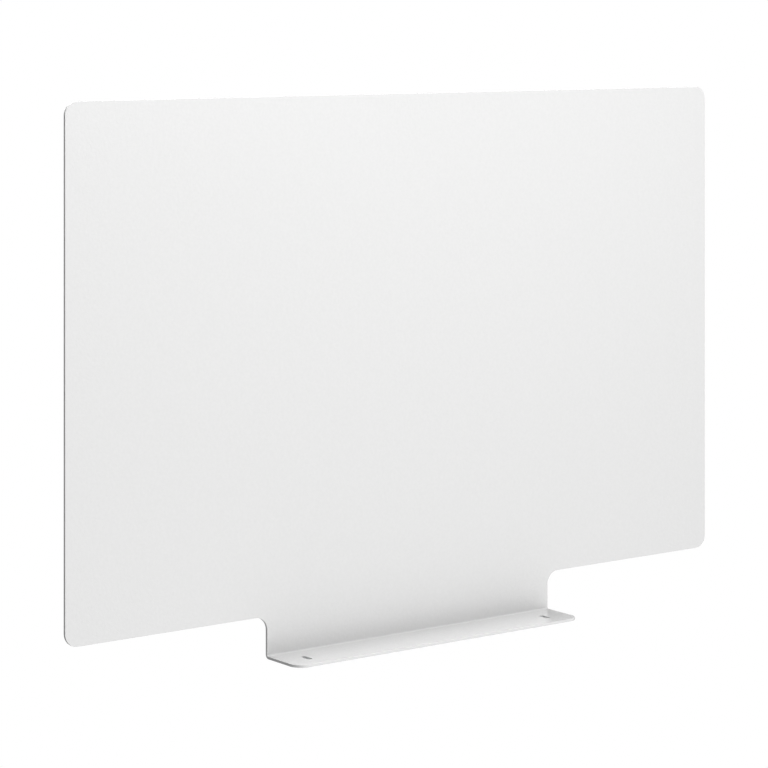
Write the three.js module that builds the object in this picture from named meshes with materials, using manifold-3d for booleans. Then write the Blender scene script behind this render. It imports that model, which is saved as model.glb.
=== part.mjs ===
// Desk privacy panel: one folded sheet-metal panel with the two screws and two
// washers that hang it under a desk top.
//
// Millimetres, +Z up. The origin is at the middle of the flange's top face,
// which meets the underside of the desk. +X runs along the panel's width. The
// broad face that looks over the desk faces -Y, and the flange reaches forward,
// towards -Y, under the desk.

import * as THREE from 'three';
import { mergeVertices } from 'three/addons/utils/BufferGeometryUtils.js';
import Module from 'manifold-3d';

// ---------------------------------------------------------- panel dimensions
const SHEET_T = 2.5; // steel thickness with its powder coat
const FIELD_WIDTH = 762; // overall width, 30 in
const FIELD_HEIGHT = 476; // broad field, top edge to the wings' lower edge
const NECK_WIDTH = 336; // width of the neck and of the flange
const NECK_DROP = 36.5; // wings' lower edge down to the flange's top face
const FLANGE_REACH = 49; // neck's front face to the flange's front edge
const CORNER_R = 12.7; // every rounded corner of the blank, 1/2 in
const BEND_R = 1.6; // inside radius of the fold

// Slots in the flange, long axis front to back
const SLOT_WIDTH = 5;
const SLOT_LENGTH = 14;
const SLOT_INSET = 26; // slot centre to the flange's end
const SLOT_Y = -1.5; // slot centre, just in front of the flange's middle

// Cutting solids overrun what they cut
const PLAN_MARGIN = 5; // flange plan, beyond the foot's ends and back
const PLAN_BOTTOM = -10;
const PLAN_HEIGHT = 40;
const SLOT_OVERRUN = 2; // above and below the flange

// Smoothness of the faceted curves
const CORNER_STEPS = 14; // per rounded corner
const BEND_STEPS = 10; // per quarter turn of the fold
const SLOT_STEPS = 16; // per half turn of a slot end
const ROUND_STEPS = 40; // per full turn of a screw or washer

// Derived places
const HALF_FIELD = FIELD_WIDTH / 2;
const HALF_NECK = NECK_WIDTH / 2;
const FACE_Y = FLANGE_REACH / 2; // neck's front face
const BACK_Y = FACE_Y + SHEET_T; // neck's back face
const FRONT_Y = -FLANGE_REACH / 2; // flange's front edge
const TOP_Z = NECK_DROP + FIELD_HEIGHT; // top edge
const SEAM_Z = 15; // where the flat blank meets the folded foot, below the fillets
const SLOT_X = HALF_NECK - SLOT_INSET;
const SLOT_TRAVEL = SLOT_LENGTH - SLOT_WIDTH; // between the centres of its ends
const SCREW_Y = SLOT_Y + SLOT_TRAVEL / 2; // screws stand at the slots' back ends

// ------------------------------------------------------------ solid geometry
const wasm = await Module();
wasm.setup();

function toSolid(geometry) {
  // Normals and UVs would keep coincident vertices from merging.
  geometry.deleteAttribute('normal');
  geometry.deleteAttribute('uv');
  const merged = mergeVertices(geometry, 1e-4);
  return new wasm.Manifold(
    new wasm.Mesh({
      numProp: 3,
      vertProperties: new Float32Array(merged.attributes.position.array),
      triVerts: new Uint32Array(merged.index.array),
    }),
  );
}

function toGeometry(solid) {
  const mesh = solid.getMesh();
  const position = new Float32Array(mesh.vertProperties);
  const geometry = new THREE.BufferGeometry();
  geometry.setAttribute('position', new THREE.BufferAttribute(position, 3));
  geometry.setIndex(new THREE.BufferAttribute(new Uint32Array(mesh.triVerts), 1));
  geometry.computeVertexNormals();
  return geometry;
}

const toVectors = (points) => points.map(([x, y]) => new THREE.Vector2(x, y));

// Points of an arc round (centreX, centreY), between two angles in degrees.
function arc(centreX, centreY, radius, fromDeg, toDeg, steps) {
  const points = [];
  for (let i = 0; i <= steps; i += 1) {
    const angle = THREE.MathUtils.degToRad(fromDeg + ((toDeg - fromDeg) * i) / steps);
    points.push([centreX + radius * Math.cos(angle), centreY + radius * Math.sin(angle)]);
  }
  return points;
}

const corner = (centreX, centreY, fromDeg, toDeg) =>
  arc(centreX, centreY, CORNER_R, fromDeg, toDeg, CORNER_STEPS);

// Runs an outline in X and Y up +Z.
function extruded(outline, depth) {
  const shape = new THREE.Shape(toVectors(outline));
  return new THREE.ExtrudeGeometry(shape, { depth, bevelEnabled: false });
}

// Turns a profile of [radius, z] points about Z.
function turned(profile) {
  const geometry = new THREE.LatheGeometry(toVectors(profile), ROUND_STEPS);
  geometry.rotateX(Math.PI / 2); // the lathe's axis Y becomes Z
  return toSolid(geometry);
}

// ------------------------------------------------------------- formed panel
// Flat part of the blank, drawn in X and Z: the broad field with four rounded
// corners, and the neck that drops from its lower edge between two fillets.
function flatBlank() {
  const fieldX = HALF_FIELD - CORNER_R;
  const filletX = HALF_NECK + CORNER_R;
  const filletZ = NECK_DROP - CORNER_R;
  const lowerZ = NECK_DROP + CORNER_R;
  const upperZ = TOP_Z - CORNER_R;
  const outline = [
    [-HALF_NECK, SEAM_Z],
    [HALF_NECK, SEAM_Z],
    ...corner(filletX, filletZ, 180, 90),
    ...corner(fieldX, lowerZ, -90, 0),
    ...corner(fieldX, upperZ, 0, 90),
    ...corner(-fieldX, upperZ, 90, 180),
    ...corner(-fieldX, lowerZ, 180, 270),
    ...corner(-filletX, filletZ, 90, 0),
  ];
  const geometry = extruded(outline, SHEET_T);
  geometry.rotateX(Math.PI / 2); // drawing's Y becomes Z, and the depth runs to -Y
  geometry.translate(0, BACK_Y, 0);
  return toSolid(geometry);
}

// Foot of the neck, the quarter-turn fold and the flange, drawn as a section in
// Y and Z and run along X.
function foldedFoot() {
  const bendY = FACE_Y - BEND_R;
  const bendZ = BEND_R;
  const section = [
    [BACK_Y, SEAM_Z],
    [FACE_Y, SEAM_Z],
    ...arc(bendY, bendZ, BEND_R, 0, -90, BEND_STEPS),
    [FRONT_Y, 0],
    [FRONT_Y, -SHEET_T],
    ...arc(bendY, bendZ, BEND_R + SHEET_T, -90, 0, BEND_STEPS),
  ];
  // The drawing's X and Y become Y and Z, and the depth becomes X.
  const placement = new THREE.Matrix4()
    .makeBasis(
      new THREE.Vector3(0, 1, 0),
      new THREE.Vector3(0, 0, 1),
      new THREE.Vector3(1, 0, 0),
    )
    .setPosition(-HALF_NECK, 0, 0);
  return toSolid(extruded(section, NECK_WIDTH).applyMatrix4(placement));
}

// Plan outline that rounds the flange's two front corners. Behind Y = 0 it
// stands clear of the foot.
function flangePlan() {
  const clearX = HALF_NECK + PLAN_MARGIN;
  const clearY = BACK_Y + PLAN_MARGIN;
  const outline = [
    [clearX, clearY],
    [-clearX, clearY],
    [-clearX, 0],
    [-HALF_NECK, 0],
    ...corner(-HALF_NECK + CORNER_R, FRONT_Y + CORNER_R, 180, 270),
    ...corner(HALF_NECK - CORNER_R, FRONT_Y + CORNER_R, 270, 360),
    [HALF_NECK, 0],
    [clearX, 0],
  ];
  return toSolid(extruded(outline, PLAN_HEIGHT).translate(0, 0, PLAN_BOTTOM));
}

function slotCutter(x) {
  const radius = SLOT_WIDTH / 2;
  const outline = [
    ...arc(x, SLOT_Y + SLOT_TRAVEL / 2, radius, 0, 180, SLOT_STEPS),
    ...arc(x, SLOT_Y - SLOT_TRAVEL / 2, radius, 180, 360, SLOT_STEPS),
  ];
  const geometry = extruded(outline, SHEET_T + 2 * SLOT_OVERRUN);
  return toSolid(geometry.translate(0, 0, -SHEET_T - SLOT_OVERRUN));
}

function formedPanel() {
  const foot = foldedFoot().intersect(flangePlan());
  const panel = foot.add(flatBlank());
  return toGeometry(panel.subtract(slotCutter(-SLOT_X)).subtract(slotCutter(SLOT_X)));
}

// -------------------------------------------------------------------- washer
// Flat washer for M4, bearing on the flange's underside
const WASHER_OD = 9.0;
const WASHER_ID = 4.3;
const WASHER_T = 0.8;
const WASHER_CHAMFER = 0.1; // on the two outer edges
const WASHER_TOP = -SHEET_T;
const WASHER_BOTTOM = WASHER_TOP - WASHER_T;

function washer() {
  const inner = WASHER_ID / 2;
  const outer = WASHER_OD / 2;
  return toGeometry(
    turned([
      [inner, WASHER_BOTTOM],
      [outer - WASHER_CHAMFER, WASHER_BOTTOM],
      [outer, WASHER_BOTTOM + WASHER_CHAMFER],
      [outer, WASHER_TOP - WASHER_CHAMFER],
      [outer - WASHER_CHAMFER, WASHER_TOP],
      [inner, WASHER_TOP],
      [inner, WASHER_BOTTOM],
    ]),
  );
}

// --------------------------------------------------------------------- screw
// M4 x 6 with a low crowned head, modelled as driven home, its head bearing on
// the washer. The assembly then backs it off.
const SCREW_D = 4.0;
const SCREW_CORE_D = 3.3;
const SCREW_LENGTH = 6;
const SCREW_BACKED_OFF = 4; // how far the screw is drawn short of home
const HEAD_TOP = WASHER_BOTTOM;

// Head
const HEAD_D = 7.6;
const HEAD_H = 2.2;
const HEAD_EDGE = 0.08; // chamfer under the washer
const RIM_H = 0.75; // straight side below the bearing face
const CROWN_RISE = 0.15; // shallow cone in the middle of the crown
const CROWN_SHARE = 0.52; // that cone's radius, as a share of the head's
const CROWN_STEPS = 8;

// Thread
const THREAD_PITCH = 0.7;
const CREST_START = 0.4375; // crest flat, as shares of the pitch
const CREST_END = 0.5625;
const THREAD_START = 0.7; // plain core next to the head
const THREAD_END_GAP = 0.55; // least plain length at the tip
const TIP_LENGTH = 0.3; // tapered tip
const TIP_INSET = 0.4; // core's surface in to the tip's edge
const TIP_SHOULDER = 0.05; // core's surface in to the start of the tip

// Cross recess
const RECESS_SPAN = 4.2;
const RECESS_WEB = 1.0;
const RECESS_DEPTH = 1.35;
const RECESS_FLOOR = 0.24; // half the floor's span, as a share of RECESS_SPAN
const RECESS_OVERRUN = 0.5; // cutter's reach below the head

// Lower end to tip, as [radius, z] points.
function screwProfile() {
  const crest = SCREW_D / 2;
  const core = SCREW_CORE_D / 2;
  const head = HEAD_D / 2;
  const tip = HEAD_TOP + SCREW_LENGTH;
  const profile = [[0, HEAD_TOP - HEAD_H]];

  // Quarter ellipse that turns the crown into the rim.
  const crownHeight = HEAD_H - RIM_H - CROWN_RISE;
  for (let i = 0; i <= CROWN_STEPS; i += 1) {
    const angle = THREE.MathUtils.degToRad((90 / CROWN_STEPS) * i);
    profile.push([
      head * (CROWN_SHARE + (1 - CROWN_SHARE) * Math.sin(angle)),
      HEAD_TOP - RIM_H - crownHeight * Math.cos(angle),
    ]);
  }
  profile.push([head, HEAD_TOP - HEAD_EDGE], [head - HEAD_EDGE, HEAD_TOP], [core, HEAD_TOP]);

  // Thread, as rings of the true pitch and depth.
  const start = HEAD_TOP + THREAD_START;
  const rings = Math.floor((tip - THREAD_END_GAP - start) / THREAD_PITCH);
  for (let i = 0; i < rings; i += 1) {
    const z = start + i * THREAD_PITCH;
    profile.push(
      [core, z],
      [crest, z + THREAD_PITCH * CREST_START],
      [crest, z + THREAD_PITCH * CREST_END],
    );
  }
  profile.push(
    [core, start + rings * THREAD_PITCH],
    [core - TIP_SHOULDER, tip - TIP_LENGTH],
    [core - TIP_INSET, tip],
    [0, tip],
  );
  return profile;
}

// One arm pair of the recess: a wedge that narrows towards the shank.
function recessWedge(turn) {
  const depth = RECESS_DEPTH + RECESS_OVERRUN;
  const outline = [
    [-RECESS_SPAN / 2, 0],
    [RECESS_SPAN / 2, 0],
    [RECESS_SPAN * RECESS_FLOOR, depth],
    [-RECESS_SPAN * RECESS_FLOOR, depth],
  ];
  const geometry = extruded(outline, RECESS_WEB);
  geometry.translate(0, 0, -RECESS_WEB / 2);
  geometry.rotateX(Math.PI / 2);
  geometry.translate(0, 0, HEAD_TOP - HEAD_H - RECESS_OVERRUN);
  geometry.rotateZ(turn);
  return toSolid(geometry);
}

function screw() {
  const recess = recessWedge(0).add(recessWedge(Math.PI / 2));
  return toGeometry(turned(screwProfile()).subtract(recess));
}

// ------------------------------------------------------------------ materials
const powderCoat = () =>
  new THREE.MeshStandardMaterial({ color: 0xeeeeee, roughness: 0.5, metalness: 0 });
const zincPlate = () =>
  new THREE.MeshStandardMaterial({ color: 0xc8ccd0, roughness: 0.32, metalness: 1 });

// ------------------------------------------------------------------- assembly
function named(name, geometry, material) {
  const mesh = new THREE.Mesh(geometry, material);
  mesh.name = name;
  return mesh;
}

// A washer and its screw, standing in the slot at x.
function fixing(side, x) {
  const group = new THREE.Group();
  group.position.set(x, SCREW_Y, 0);
  group.add(named(`${side}_washer`, washer(), zincPlate()));
  // Backed off, so that no tip stands above the flange's top face.
  const startedScrew = named(`${side}_mounting_screw`, screw(), zincPlate());
  startedScrew.position.z = -SCREW_BACKED_OFF;
  group.add(startedScrew);
  return group;
}

const part = new THREE.Group();
part.name = 'desk_privacy_panel';
part.add(named('formed_panel', formedPanel(), powderCoat()));
part.add(fixing('left', -SLOT_X), fixing('right', SLOT_X));

export default part;
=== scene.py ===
"""Looks of the desk privacy panel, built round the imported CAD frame.

The formed panel is rebuilt here as a fine mesh: the same folded sheet, with
the rounded edges that powder coat gives it. The washers and screws are rebuilt
with chamfers, a real helical thread and a cross recess. Metres, +Z up.
"""
import math

import bmesh
import bpy
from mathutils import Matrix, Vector
from mathutils.geometry import delaunay_2d_cdt


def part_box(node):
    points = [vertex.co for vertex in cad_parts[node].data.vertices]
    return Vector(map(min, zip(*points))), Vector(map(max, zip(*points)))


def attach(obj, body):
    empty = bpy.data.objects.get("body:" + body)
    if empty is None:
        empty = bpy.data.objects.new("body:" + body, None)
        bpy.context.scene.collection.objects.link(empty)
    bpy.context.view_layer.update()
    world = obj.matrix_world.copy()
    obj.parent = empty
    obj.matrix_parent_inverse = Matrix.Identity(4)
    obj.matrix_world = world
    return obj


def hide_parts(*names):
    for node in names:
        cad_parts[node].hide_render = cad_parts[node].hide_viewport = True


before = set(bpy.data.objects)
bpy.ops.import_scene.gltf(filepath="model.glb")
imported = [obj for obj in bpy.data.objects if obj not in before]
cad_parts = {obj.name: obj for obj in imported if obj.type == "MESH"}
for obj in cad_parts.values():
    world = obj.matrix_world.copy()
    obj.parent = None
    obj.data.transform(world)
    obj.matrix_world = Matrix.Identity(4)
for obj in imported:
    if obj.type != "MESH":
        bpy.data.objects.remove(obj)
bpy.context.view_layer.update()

MM = 0.001
scene = bpy.context.scene

# ------------------------------------------------------------------ dimensions
# Overall sizes come from the frame; the rest are the sheet's own constants.
p_lo, p_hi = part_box("formed_panel")
SHEET_T = -p_lo.z  # flange top is Z = 0, its underside is the lowest point
BACK_Y = p_hi.y
FACE_Y = BACK_Y - SHEET_T
FRONT_Y = p_lo.y
TOP_Z = p_hi.z
HALF_FIELD = p_hi.x
HALF_NECK = 168 * MM
WING_Z = 36.5 * MM
CORNER_R = 12.7 * MM
BEND_R = 1.6 * MM
SLOT_W = 5 * MM
SLOT_L = 14 * MM
SLOT_X = 142 * MM
SLOT_Y = -1.5 * MM
EDGE_R = 0.25 * MM  # rounding of the coated edges

CORNER_STEPS = 28
BEND_STEPS = 20
SLOT_STEPS = 28
EDGE_STEPS = 5


# --------------------------------------------------------------- formed panel
# The sheet is drawn flat in (x, v) and folded afterwards. v = 0 is where the
# fold starts; v < -BEND_L is the flange.
BEND_L = BEND_R * math.pi / 2


def fold(x, v, d):
    """Flat place (x, v) at depth d behind the front face, folded. Returns the
    point and the front face's outward normal there."""
    cy, cz = FACE_Y - BEND_R, BEND_R
    if v >= 0:
        return Vector((x, FACE_Y + d, cz + v)), Vector((0, -1, 0))
    if v > -BEND_L:
        a = -v / BEND_R
        r = BEND_R + d
        return (
            Vector((x, cy + r * math.cos(a), cz - r * math.sin(a))),
            Vector((0, -math.cos(a), math.sin(a))),
        )
    s = -v - BEND_L
    return Vector((x, cy - s, -d)), Vector((0, 0, 1))


def in_plane(v, nx, nv):
    """A direction in the flat sheet, (nx, nv), as it stands after folding."""
    if v >= 0:
        up = Vector((0, 0, 1))
    elif v > -BEND_L:
        a = -v / BEND_R
        up = Vector((0, math.sin(a), math.cos(a)))
    else:
        up = Vector((0, 1, 0))
    return Vector((nx, 0, 0)) + up * nv


def arc_points(cx, cy, r, a0, a1, steps, inward, skip_first=False):
    """(x, v, nx, nv) along an arc; n points out of the sheet. inward is +1
    where the sheet is on the arc's inside."""
    out = []
    for i in range(1 if skip_first else 0, steps + 1):
        a = math.radians(a0 + (a1 - a0) * i / steps)
        c, s = math.cos(a), math.sin(a)
        out.append((cx + r * c, cy + r * s, c * inward, s * inward))
    return out


def outer_loop():
    n, w, r = HALF_NECK, HALF_FIELD, CORNER_R
    wing, top = WING_Z - BEND_R, TOP_Z - BEND_R
    reach = (FACE_Y - BEND_R) - FRONT_Y
    front = -BEND_L - reach
    loop = []
    # front edge of the flange and its right corner, then up the right side
    loop += arc_points(n - r, front + r, r, 270, 360, CORNER_STEPS, 1)
    for i in range(BEND_STEPS + 1):
        loop.append((n, -BEND_L + BEND_L * i / BEND_STEPS, 1.0, 0.0))
    loop += arc_points(n + r, wing - r, r, 180, 90, CORNER_STEPS, -1)
    loop += arc_points(w - r, wing + r, r, 270, 360, CORNER_STEPS, 1)
    loop += arc_points(w - r, top - r, r, 0, 90, CORNER_STEPS, 1)
    loop += arc_points(-w + r, top - r, r, 90, 180, CORNER_STEPS, 1)
    loop += arc_points(-w + r, wing + r, r, 180, 270, CORNER_STEPS, 1)
    loop += arc_points(-n - r, wing - r, r, 90, 0, CORNER_STEPS, -1)
    for i in range(BEND_STEPS, -1, -1):
        loop.append((-n, -BEND_L + BEND_L * i / BEND_STEPS, -1.0, 0.0))
    loop += arc_points(-n + r, front + r, r, 180, 270, CORNER_STEPS, 1)
    return loop


def slot_loop(x):
    vc = -BEND_L - (FACE_Y - BEND_R) + SLOT_Y  # v of the slot's centre
    r, h = SLOT_W / 2, (SLOT_L - SLOT_W) / 2
    loop = arc_points(x, vc + h, r, 180, 0, SLOT_STEPS, -1)
    loop += arc_points(x, vc - h, r, 0, -180, SLOT_STEPS, -1)
    return loop


def offset_loop(loop, e):
    return [(x - nx * e, v - nv * e) for x, v, nx, nv in loop]


def inside(loop, x, v):
    hit = False
    for (xa, va), (xb, vb) in zip(loop, loop[1:] + loop[:1]):
        if (va > v) != (vb > v) and x < xa + (v - va) * (xb - xa) / (vb - va):
            hit = not hit
    return hit


def make_panel():
    loops = [outer_loop(), slot_loop(-SLOT_X), slot_loop(SLOT_X)]
    # Section of a coated edge: (inset, depth, tilt) from the front face round
    # to the back face. tilt is the normal's angle from the front face's normal.
    section = []
    for i in range(EDGE_STEPS + 1):
        a = math.pi / 2 * i / EDGE_STEPS
        section.append((EDGE_R * (1 - math.sin(a)), EDGE_R * (1 - math.cos(a)), a))
    for i in range(EDGE_STEPS + 1):
        a = math.pi / 2 * i / EDGE_STEPS
        section.append(
            (EDGE_R * (1 - math.cos(a)), SHEET_T - EDGE_R * (1 - math.sin(a)), math.pi / 2 + a)
        )
    verts, normals, faces = [], [], []
    rims = []  # per loop: (front indices, back indices)
    for loop in loops:
        rings = []
        for inset, depth, tilt in section:
            ring = []
            for x, v, nx, nv in loop:
                p, n = fold(x - nx * inset, v - nv * inset, depth)
                side = in_plane(v - nv * inset, nx, nv)
                ring.append(len(verts))
                verts.append(p)
                normals.append((n * math.cos(tilt) + side * math.sin(tilt)).normalized())
            rings.append(ring)
        count = len(loop)
        for a, b in zip(rings, rings[1:]):
            for i in range(count):
                j = (i + 1) % count
                faces.append((a[i], a[j], b[j], b[i]))
        rims.append((rings[0], rings[-1], offset_loop(loop, EDGE_R)))
    # Faces of the sheet: one constrained triangulation of the flat blank, used
    # for both sides, with a line across the neck at every step of the fold.
    pts, edges, index_front, index_back = [], [], [], []
    for front, back, flat in rims:
        base = len(pts)
        pts += flat
        index_front += front
        index_back += back
        edges += [(base + i, base + (i + 1) % len(flat)) for i in range(len(flat))]
    bend_right = [
        i for i, (x, v, nx, nv) in enumerate(loops[0]) if nx == 1.0 and -BEND_L - 1e-9 <= v <= 1e-9
    ]
    bend_left = [
        i for i, (x, v, nx, nv) in enumerate(loops[0]) if nx == -1.0 and -BEND_L - 1e-9 <= v <= 1e-9
    ]
    for a in bend_right:
        for b in bend_left:
            if abs(loops[0][a][1] - loops[0][b][1]) < 1e-9:
                edges.append((a, b))
    scale = 1000.0
    found = delaunay_2d_cdt(
        [Vector((x * scale, v * scale)) for x, v in pts], edges, [], 1, 1e-6, True
    )
    out_pts, _, out_faces, orig = found[0], found[1], found[2], found[3]
    where = []
    for k, ids in enumerate(orig):
        if not ids:
            raise RuntimeError("the triangulation added a point to the blank")
        where.append(ids[0])
    for f in out_faces:
        cx = sum(out_pts[i].x for i in f) / len(f) / scale
        cv = sum(out_pts[i].y for i in f) / len(f) / scale
        outer, *slots = [flat for _, _, flat in rims]
        if not inside(outer, cx, cv) or any(inside(hole, cx, cv) for hole in slots):
            continue
        ids = [where[i] for i in f]
        faces.append(tuple(index_front[i] for i in ids))
        faces.append(tuple(index_back[i] for i in reversed(ids)))
    mesh = bpy.data.meshes.new("formed_panel_sheet")
    mesh.from_pydata([tuple(p) for p in verts], [], faces)
    bm = bmesh.new()
    bm.from_mesh(mesh)
    bmesh.ops.recalc_face_normals(bm, faces=bm.faces)
    volume = bm.calc_volume(signed=True)
    if volume < 0:
        bmesh.ops.reverse_faces(bm, faces=bm.faces)
    open_edges = [e for e in bm.edges if len(e.link_faces) != 2]
    if open_edges:
        raise RuntimeError(f"the panel mesh has {len(open_edges)} open edges")
    bm.to_mesh(mesh)
    bm.free()
    mesh.shade_smooth()
    mesh.normals_split_custom_set_from_vertices([tuple(n) for n in normals])
    obj = bpy.data.objects.new("formed_panel_sheet", mesh)
    scene.collection.objects.link(obj)
    return obj


# ------------------------------------------------------------------- fasteners
def ring_mesh(name, rows, closed_rows, caps):
    """rows: list of lists of points, all one length, joined row to row round
    the axis. caps: (first row centre, last row centre) or None."""
    verts, faces = [], []
    n = len(rows[0])
    for row in rows:
        verts += [tuple(p) for p in row]
    m = len(rows)
    for k in range(m if closed_rows else m - 1):
        a, b = k * n, ((k + 1) % m) * n
        for i in range(n):
            j = (i + 1) % n
            faces.append((a + i, a + j, b + j, b + i))
    if caps:
        first, last = caps
        c0 = len(verts)
        verts.append(tuple(first))
        c1 = len(verts)
        verts.append(tuple(last))
        for i in range(n):
            j = (i + 1) % n
            faces.append((c0, j, i))
            faces.append((c1, (m - 1) * n + i, (m - 1) * n + j))
    mesh = bpy.data.meshes.new(name)
    mesh.from_pydata(verts, [], faces)
    return mesh


def tidy(mesh):
    bm = bmesh.new()
    bm.from_mesh(mesh)
    bmesh.ops.remove_doubles(bm, verts=bm.verts, dist=1e-8)
    bmesh.ops.recalc_face_normals(bm, faces=bm.faces)
    if bm.calc_volume(signed=True) < 0:
        bmesh.ops.reverse_faces(bm, faces=bm.faces)
    bm.to_mesh(mesh)
    bm.free()


def make_washer(name, centre, z_lo, z_hi, r_in, r_out):
    c = 0.09 * MM
    sect = []

    def corner(r, z, a0, a1):
        for i in range(5):
            a = math.radians(a0 + (a1 - a0) * i / 4)
            sect.append((r + c * math.cos(a), z + c * math.sin(a)))

    corner(r_out - c, z_lo + c, -90, 0)
    corner(r_out - c, z_hi - c, 0, 90)
    corner(r_in + c, z_hi - c, 90, 180)
    corner(r_in + c, z_lo + c, 180, 270)
    steps = 96
    rows = []
    for r, z in sect:
        rows.append(
            [
                (
                    centre[0] + r * math.cos(2 * math.pi * i / steps),
                    centre[1] + r * math.sin(2 * math.pi * i / steps),
                    z,
                )
                for i in range(steps)
            ]
        )
    mesh = ring_mesh(name, rows, True, None)
    tidy(mesh)
    mesh.shade_smooth()
    obj = bpy.data.objects.new(name, mesh)
    scene.collection.objects.link(obj)
    return obj


def make_screw(name, centre, z_lo, z_hi):
    """M4 x 6: low crowned head with a cross recess, rounded rim, fillet under
    the head, helical thread and a chamfered tip."""
    head_r = 3.8 * MM
    r_major, r_minor, pitch = 2.0 * MM, 1.66 * MM, 0.7 * MM
    seat = z_hi - 6.0 * MM
    steps = 72
    rows = []

    def row(r, z, lift=None):
        out = []
        for i in range(steps):
            a = 2 * math.pi * i / steps
            rr, zz = (r, z) if lift is None else lift(a)
            out.append((centre[0] + rr * math.cos(a), centre[1] + rr * math.sin(a), zz))
        rows.append(out)

    # Crown: a shallow dome, then a tight shoulder into a short straight rim.
    dome_r = 6.5 * MM
    edge = 3.15 * MM
    drop = dome_r - math.sqrt(dome_r**2 - edge**2)
    for i in range(1, 13):
        r = edge * i / 12
        row(r, z_lo + (dome_r - math.sqrt(dome_r**2 - r**2)))
    slope = math.asin(edge / dome_r)
    sh = (head_r - edge) / (1 - math.sin(slope))
    cx, cz = head_r - sh, z_lo + drop + sh * math.cos(slope)
    for i in range(1, 11):
        a = slope + (math.pi / 2 - slope) * i / 10
        row(cx + sh * math.sin(a), cz - sh * math.cos(a))
    c = 0.12 * MM
    row(head_r, seat - c)
    for i in range(1, 5):
        a = math.pi / 2 * i / 4
        row(head_r - c * (1 - math.cos(a)), seat - c * (1 - math.sin(a)))
    f = 0.2 * MM
    row(r_minor + f + 0.25 * MM, seat)
    for i in range(5):
        a = math.pi / 2 * i / 4
        row(r_minor + f * (1 - math.sin(a)), seat + f * (1 - math.cos(a)))
    # Thread: the radius runs as a flattened 60 degree ridge round a helix, and
    # fades in over the first turn and out over the last.
    z0, z1 = seat + 0.45 * MM, z_hi - 0.12 * MM
    per_pitch = 16
    count = int(round((z1 - z0) / pitch * per_pitch))
    for k in range(1, count):
        z = z0 + (z1 - z0) * k / count

        def lift(a, z=z):
            u = ((z - z0) / pitch - a / (2 * math.pi)) % 1.0
            d = abs(u - 0.5) * 2  # 0 at the crest, 1 at the root
            h = min(1.0, max(0.0, (1 - d - 0.06) / 0.72))
            h = h * h * (3 - 2 * h) * 0.5 + h * 0.5
            near = min(1.0, (z - z0) / (0.5 * pitch), (z1 - z) / (0.85 * pitch))
            return r_minor + (r_major - r_minor) * h * max(0.0, near), z

        row(0, 0, lift)
    row(r_minor, z1)
    row(r_minor - 0.12 * MM, z_hi)
    mesh = ring_mesh(
        name,
        rows,
        False,
        ((centre[0], centre[1], z_lo), (centre[0], centre[1], z_hi)),
    )
    tidy(mesh)
    obj = bpy.data.objects.new(name, mesh)
    scene.collection.objects.link(obj)
    # Cross recess, cut as two crossed tapered blades.
    cut = bpy.data.meshes.new(name + "_recess")
    bm = bmesh.new()

    def blade(turn):
        top, bot, web_t, web_b = 2.2 * MM, 1.0 * MM, 0.5 * MM, 0.34 * MM
        z_a, z_b = z_lo - 0.3 * MM, z_lo + 1.35 * MM
        lo_z = [(-top, -web_t), (top, -web_t), (top, web_t), (-top, web_t)]
        hi_z = [(-bot, -web_b), (bot, -web_b), (bot, web_b), (-bot, web_b)]
        ca, sa = math.cos(turn), math.sin(turn)
        vs = []
        for pts, z in ((lo_z, z_a), (hi_z, z_b)):
            for x, y in pts:
                vs.append(
                    bm.verts.new(
                        (centre[0] + x * ca - y * sa, centre[1] + x * sa + y * ca, z)
                    )
                )
        bm.faces.new((vs[3], vs[2], vs[1], vs[0]))
        bm.faces.new((vs[4], vs[5], vs[6], vs[7]))
        for i in range(4):
            j = (i + 1) % 4
            bm.faces.new((vs[i], vs[j], vs[4 + j], vs[4 + i]))

    turn = math.radians(28 if centre[0] < 0 else 61)
    blade(turn)
    bm.to_mesh(cut)
    bm.free()
    cutter_a = bpy.data.objects.new(name + "_cut_a", cut)
    cut_b = bpy.data.meshes.new(name + "_recess_b")
    bm = bmesh.new()
    blade(turn + math.pi / 2)
    bm.to_mesh(cut_b)
    bm.free()
    cutter_b = bpy.data.objects.new(name + "_cut_b", cut_b)
    for cutter in (cutter_a, cutter_b):
        scene.collection.objects.link(cutter)
        mod = obj.modifiers.new("recess", "BOOLEAN")
        mod.operation = "DIFFERENCE"
        mod.solver = "EXACT"
        mod.object = cutter
    bpy.context.view_layer.update()
    done = bpy.data.meshes.new_from_object(
        obj.evaluated_get(bpy.context.evaluated_depsgraph_get())
    )
    obj.modifiers.clear()
    obj.data = done
    for cutter in (cutter_a, cutter_b):
        bpy.data.objects.remove(cutter)
    done.shade_smooth()
    done.set_sharp_from_angle(angle=math.radians(38))
    return obj


# ------------------------------------------------------------------- materials
def new_material(name):
    mat = bpy.data.materials.new(name)
    mat.use_nodes = True
    nt = mat.node_tree
    return mat, nt, nt.nodes, nt.links, nt.nodes["Principled BSDF"]


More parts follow.
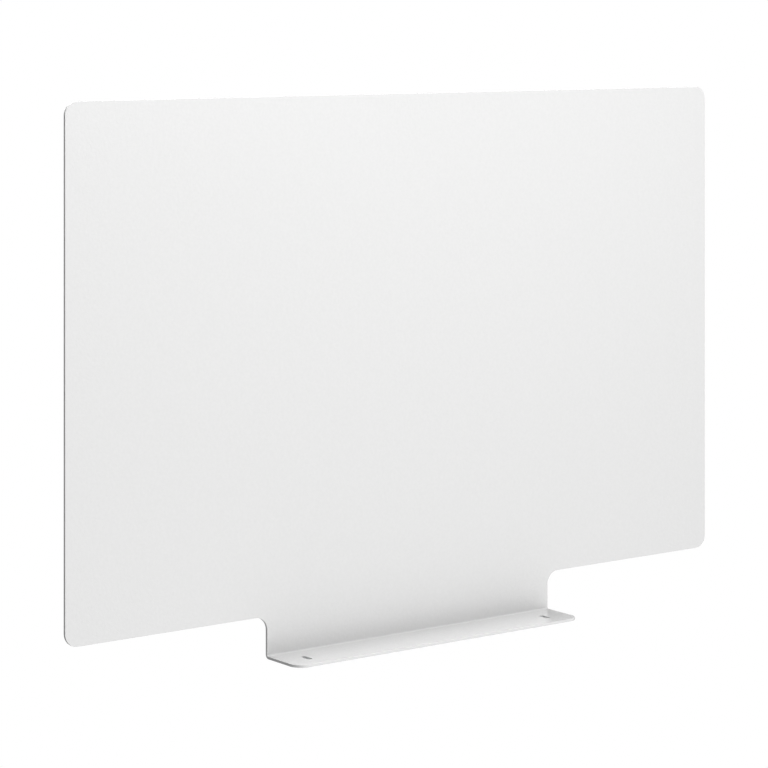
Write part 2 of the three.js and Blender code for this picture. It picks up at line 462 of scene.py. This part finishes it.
def powder_coat():
    mat, nt, nodes, links, bsdf = new_material("white_powder_coat")
    coord = nodes.new("ShaderNodeTexCoord")
    # Fine sandy texture of the coat, and the slow orange peel under it.
    grain = nodes.new("ShaderNodeTexNoise")
    grain.inputs["Scale"].default_value = 1100
    grain.inputs["Detail"].default_value = 3
    grain.inputs["Roughness"].default_value = 0.6
    peel = nodes.new("ShaderNodeTexNoise")
    peel.inputs["Scale"].default_value = 330
    peel.inputs["Detail"].default_value = 2
    links.new(coord.outputs["Object"], grain.inputs["Vector"])
    links.new(coord.outputs["Object"], peel.inputs["Vector"])
    bump_a = nodes.new("ShaderNodeBump")
    bump_a.inputs["Strength"].default_value = 0.45
    bump_a.inputs["Distance"].default_value = 0.00012
    links.new(grain.outputs["Fac"], bump_a.inputs["Height"])
    bump_b = nodes.new("ShaderNodeBump")
    bump_b.inputs["Strength"].default_value = 0.3
    bump_b.inputs["Distance"].default_value = 0.0003
    links.new(peel.outputs["Fac"], bump_b.inputs["Height"])
    links.new(bump_a.outputs["Normal"], bump_b.inputs["Normal"])
    links.new(bump_b.outputs["Normal"], bsdf.inputs["Normal"])
    # Slight mottling of the colour and of the gloss.
    tone = nodes.new("ShaderNodeTexNoise")
    tone.inputs["Scale"].default_value = 380
    tone.inputs["Detail"].default_value = 3
    links.new(coord.outputs["Object"], tone.inputs["Vector"])
    ramp = nodes.new("ShaderNodeMapRange")
    ramp.inputs["From Min"].default_value = 0.3
    ramp.inputs["From Max"].default_value = 0.7
    ramp.inputs["To Min"].default_value = 0.979
    ramp.inputs["To Max"].default_value = 1.006
    links.new(tone.outputs["Fac"], ramp.inputs["Value"])
    white = nodes.new("ShaderNodeMix")
    white.data_type = "RGBA"
    white.blend_type = "MULTIPLY"
    white.inputs["Factor"].default_value = 1.0
    white.inputs["A"].default_value = (ALBEDO, ALBEDO, ALBEDO * 0.999, 1)
    comb = nodes.new("ShaderNodeCombineColor")
    for k in ("Red", "Green", "Blue"):
        links.new(ramp.outputs["Result"], comb.inputs[k])
    links.new(comb.outputs["Color"], white.inputs["B"])
    links.new(white.outputs["Result"], bsdf.inputs["Base Color"])
    gloss = nodes.new("ShaderNodeMapRange")
    gloss.inputs["From Min"].default_value = 0.25
    gloss.inputs["From Max"].default_value = 0.75
    gloss.inputs["To Min"].default_value = 0.19
    gloss.inputs["To Max"].default_value = 0.26
    links.new(peel.outputs["Fac"], gloss.inputs["Value"])
    links.new(gloss.outputs["Result"], bsdf.inputs["Roughness"])
    bsdf.inputs["IOR"].default_value = 1.5
    return mat


def zinc_plate():
    mat, nt, nodes, links, bsdf = new_material("zinc_plate")
    bsdf.inputs["Metallic"].default_value = 1.0
    coord = nodes.new("ShaderNodeTexCoord")
    cloud = nodes.new("ShaderNodeTexNoise")
    cloud.inputs["Scale"].default_value = 900
    cloud.inputs["Detail"].default_value = 4
    links.new(coord.outputs["Object"], cloud.inputs["Vector"])
    tint = nodes.new("ShaderNodeValToRGB")
    tint.color_ramp.elements[0].position = 0.3
    tint.color_ramp.elements[0].color = (0.60, 0.63, 0.66, 1)
    tint.color_ramp.elements[1].position = 0.7
    tint.color_ramp.elements[1].color = (0.74, 0.76, 0.77, 1)
    links.new(cloud.outputs["Fac"], tint.inputs["Fac"])
    links.new(tint.outputs["Color"], bsdf.inputs["Base Color"])
    rough = nodes.new("ShaderNodeMapRange")
    rough.inputs["To Min"].default_value = 0.22
    rough.inputs["To Max"].default_value = 0.42
    links.new(cloud.outputs["Fac"], rough.inputs["Value"])
    links.new(rough.outputs["Result"], bsdf.inputs["Roughness"])
    fine = nodes.new("ShaderNodeTexNoise")
    fine.inputs["Scale"].default_value = 4000
    fine.inputs["Detail"].default_value = 3
    links.new(coord.outputs["Object"], fine.inputs["Vector"])
    bump = nodes.new("ShaderNodeBump")
    bump.inputs["Strength"].default_value = 0.12
    bump.inputs["Distance"].default_value = 0.00003
    links.new(fine.outputs["Fac"], bump.inputs["Height"])
    links.new(bump.outputs["Normal"], bsdf.inputs["Normal"])
    return mat


ALBEDO = 0.60
coat = powder_coat()
zinc = zinc_plate()

# ---------------------------------------------------------------------- pieces
panel = make_panel()
panel.data.materials.append(coat)
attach(panel, "panel")
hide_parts("formed_panel")

for side in ("left", "right"):
    lo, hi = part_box(f"{side}_washer")
    centre = ((lo.x + hi.x) / 2, (lo.y + hi.y) / 2)
    # A hair thinner than its box, so that the screw's head seats without a cut.
    w = make_washer(
        f"{side}_flat_washer", centre, lo.z + 0.02 * MM, hi.z, 2.15 * MM, (hi.x - lo.x) / 2
    )
    w.data.materials.append(zinc)
    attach(w, f"{side}_washer")
    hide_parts(f"{side}_washer")
    lo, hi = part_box(f"{side}_mounting_screw")
    s = make_screw(f"{side}_crown_head_screw", centre, lo.z, hi.z)
    s.data.materials.clear()
    s.data.materials.append(zinc)
    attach(s, f"{side}_screw")
    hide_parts(f"{side}_mounting_screw")

# ----------------------------------------------------------------------- stage
FLOOR_Z = -0.70


def stage_white(name, value, bounce):
    """Plain white to the camera, a pale matt surface to the light. Clear from
    behind, so that a camera below the floor sees the object."""
    mat = bpy.data.materials.new(name)
    mat.use_nodes = True
    nodes, links = mat.node_tree.nodes, mat.node_tree.links
    nodes.clear()
    out = nodes.new("ShaderNodeOutputMaterial")
    mix = nodes.new("ShaderNodeMixShader")
    path = nodes.new("ShaderNodeLightPath")
    glow = nodes.new("ShaderNodeEmission")
    glow.inputs["Color"].default_value = (value, value, value, 1)
    matt = nodes.new("ShaderNodeBsdfDiffuse")
    matt.inputs["Color"].default_value = (bounce, bounce, bounce, 1)
    links.new(path.outputs["Is Camera Ray"], mix.inputs["Fac"])
    links.new(matt.outputs["BSDF"], mix.inputs[1])
    links.new(glow.outputs["Emission"], mix.inputs[2])
    geometry = nodes.new("ShaderNodeNewGeometry")
    clear = nodes.new("ShaderNodeBsdfTransparent")
    side = nodes.new("ShaderNodeMixShader")
    links.new(geometry.outputs["Backfacing"], side.inputs["Fac"])
    links.new(mix.outputs["Shader"], side.inputs[1])
    links.new(clear.outputs["BSDF"], side.inputs[2])
    links.new(side.outputs["Shader"], out.inputs["Surface"])
    return mat


floor_mesh = bpy.data.meshes.new("studio_floor")
floor_mesh.from_pydata(
    [(-8, -8, FLOOR_Z), (8, -8, FLOOR_Z), (8, 8, FLOOR_Z), (-8, 8, FLOOR_Z)],
    [],
    [(0, 1, 2, 3)],
)
floor_obj = bpy.data.objects.new("studio_floor", floor_mesh)
floor_mesh.materials.append(stage_white("studio_white", 1.0, 0.6))
scene.collection.objects.link(floor_obj)
# The light from below is part of the world's lobes, so the floor is only seen.
floor_obj.visible_diffuse = False
floor_obj.visible_glossy = False
floor_obj.visible_shadow = False
floor_obj.visible_transmission = False

# ---------------------------------------------------------------------- lights
# Soft studio surround: a sum of broad lobes, each (direction, strength). The
# camera itself sees plain white.
LOBES = [
    ((0, -1, -1), 1.21),
    ((1, -1, 0), 1.324),
    ((-1, 0, 0), 0.284),
    ((0, 1, 0), 0.119),
    ((0, -1, 0), 0.120),
]
# name, position, aim, width, height, watts
LIGHTS = [
    ("overhead", (0.0, 0.12, 2.2), (0.0, 0.12, 0.0), 1.5, 0.4, 49.1),
    ("overhead_front", (0.0, -0.15, 2.0), (0.0, -0.05, 0.0), 1.5, 0.3, 4.9),
    ("top_strip", (0.05, -0.5, 1.5), (0.05, 0.0, 0.45), 1.2, 0.4, 1.2),
    ("near_front", (0.1, -0.9, 1.15), (0.05, 0.0, 0.35), 1.0, 0.5, 2.95),
    ("near_middle", (0.0, -0.8, 0.75), (0.0, 0.0, 0.42), 1.2, 0.6, 1.85),
    ("low_front", (0.0, -0.9, -0.25), (0.0, 0.0, 0.2), 1.0, 0.4, 0.32),
    ("back_top", (0.2, 1.2, 1.8), (0.0, 0.0, 0.1), 1.6, 1.0, 44.0),
    ("back_fill", (0.1, 2.2, 0.7), (0.0, 0.0, 0.2), 0.9, 1.2, 15.0),
]

world = bpy.data.worlds.new("studio")
scene.world = world
world.use_nodes = True
wn, wl = world.node_tree.nodes, world.node_tree.links
wn.clear()
w_out = wn.new("ShaderNodeOutputWorld")
w_mix = wn.new("ShaderNodeMixShader")
w_path = wn.new("ShaderNodeLightPath")
w_cam = wn.new("ShaderNodeBackground")
w_cam.inputs["Color"].default_value = (1, 1, 1, 1)
w_cam.inputs["Strength"].default_value = 1.0
w_fill = wn.new("ShaderNodeBackground")
w_fill.inputs["Color"].default_value = (1, 1, 1, 1)
w_dir = wn.new("ShaderNodeTexCoord")
total = None
for direction, strength in LOBES:
    dot = wn.new("ShaderNodeVectorMath")
    dot.operation = "DOT_PRODUCT"
    dot.inputs[1].default_value = Vector(direction).normalized()
    wl.new(w_dir.outputs["Generated"], dot.inputs[0])
    front = wn.new("ShaderNodeMath")
    front.operation = "MAXIMUM"
    front.inputs[1].default_value = 0.0
    wl.new(dot.outputs["Value"], front.inputs[0])
    square = wn.new("ShaderNodeMath")
    square.operation = "POWER"
    square.inputs[1].default_value = 2.0
    wl.new(front.outputs[0], square.inputs[0])
    term = wn.new("ShaderNodeMath")
    term.operation = "MULTIPLY"
    term.inputs[1].default_value = strength
    wl.new(square.outputs[0], term.inputs[0])
    if total is not None:
        add = wn.new("ShaderNodeMath")
        add.operation = "ADD"
        wl.new(total, add.inputs[0])
        wl.new(term.outputs[0], add.inputs[1])
        total = add.outputs[0]
    else:
        total = term.outputs[0]
wl.new(total, w_fill.inputs["Strength"])
wl.new(w_path.outputs["Is Camera Ray"], w_mix.inputs["Fac"])
wl.new(w_fill.outputs["Background"], w_mix.inputs[1])
wl.new(w_cam.outputs["Background"], w_mix.inputs[2])
wl.new(w_mix.outputs["Shader"], w_out.inputs["Surface"])

for name, pos, aim, w, h, watts in LIGHTS:
    data = bpy.data.lights.new(name, "AREA")
    data.shape = "RECTANGLE"
    data.size, data.size_y = w, h
    data.energy = watts
    lamp = bpy.data.objects.new(name, data)
    lamp.location = pos
    lamp.rotation_mode = "QUATERNION"
    lamp.rotation_quaternion = (Vector(aim) - Vector(pos)).to_track_quat("-Z", "Y")
    lamp.visible_camera = False
    scene.collection.objects.link(lamp)

# ---------------------------------------------------------------------- camera
# A level camera with the lens dropped (rise and fall movement), so upright
# edges stay upright. The fall belongs to this viewpoint only: it is driven by
# the camera's distance from it, and is zero anywhere else.
F_PX, HORIZON_PX = 2761.8, 8.35
THETA = math.radians(53.127)
X0, Z0 = -277.37 * MM, 2401.6 * MM
EYE_Z = 593.45 * MM
right = Vector((math.sin(THETA), -math.cos(THETA), 0))
ahead = Vector((math.cos(THETA), math.sin(THETA), 0))
eye = Vector((-HALF_FIELD, FACE_Y, 0)) - right * X0 - ahead * Z0
eye.z = EYE_Z

cam_data = bpy.data.cameras.new("camera")
cam_data.sensor_fit = "HORIZONTAL"
cam_data.sensor_width = 36.0
cam_data.lens = F_PX / 768 * 36.0
cam_data.clip_start, cam_data.clip_end = 0.01, 60
cam = bpy.data.objects.new("camera", cam_data)
cam.location = eye
cam.rotation_mode = "QUATERNION"
cam.rotation_quaternion = ahead.to_track_quat("-Z", "Y")
scene.collection.objects.link(cam)
scene.camera = cam

marker = bpy.data.objects.new("camera_home", None)
marker.location = eye
scene.collection.objects.link(marker)
FALL = (HORIZON_PX - 384.0) / 768.0
curve = cam_data.driver_add("shift_y")
for m in list(curve.modifiers):
    curve.modifiers.remove(m)
curve.driver.type = "SUM"
var = curve.driver.variables.new()
var.type = "LOC_DIFF"
var.targets[0].id = cam
var.targets[1].id = marker
curve.keyframe_points.add(3)
for k, (a, b) in zip(curve.keyframe_points, ((0.0, FALL), (0.02, FALL), (0.03, 0.0))):
    k.co = (a, b)
    k.interpolation = "LINEAR"
curve.extrapolation = "CONSTANT"
curve.update()

scene.view_settings.view_transform = "Standard"
scene.view_settings.look = "None"
scene.view_settings.exposure = 0.0
scene.view_settings.gamma = 1.0

bpy.context.view_layer.update()
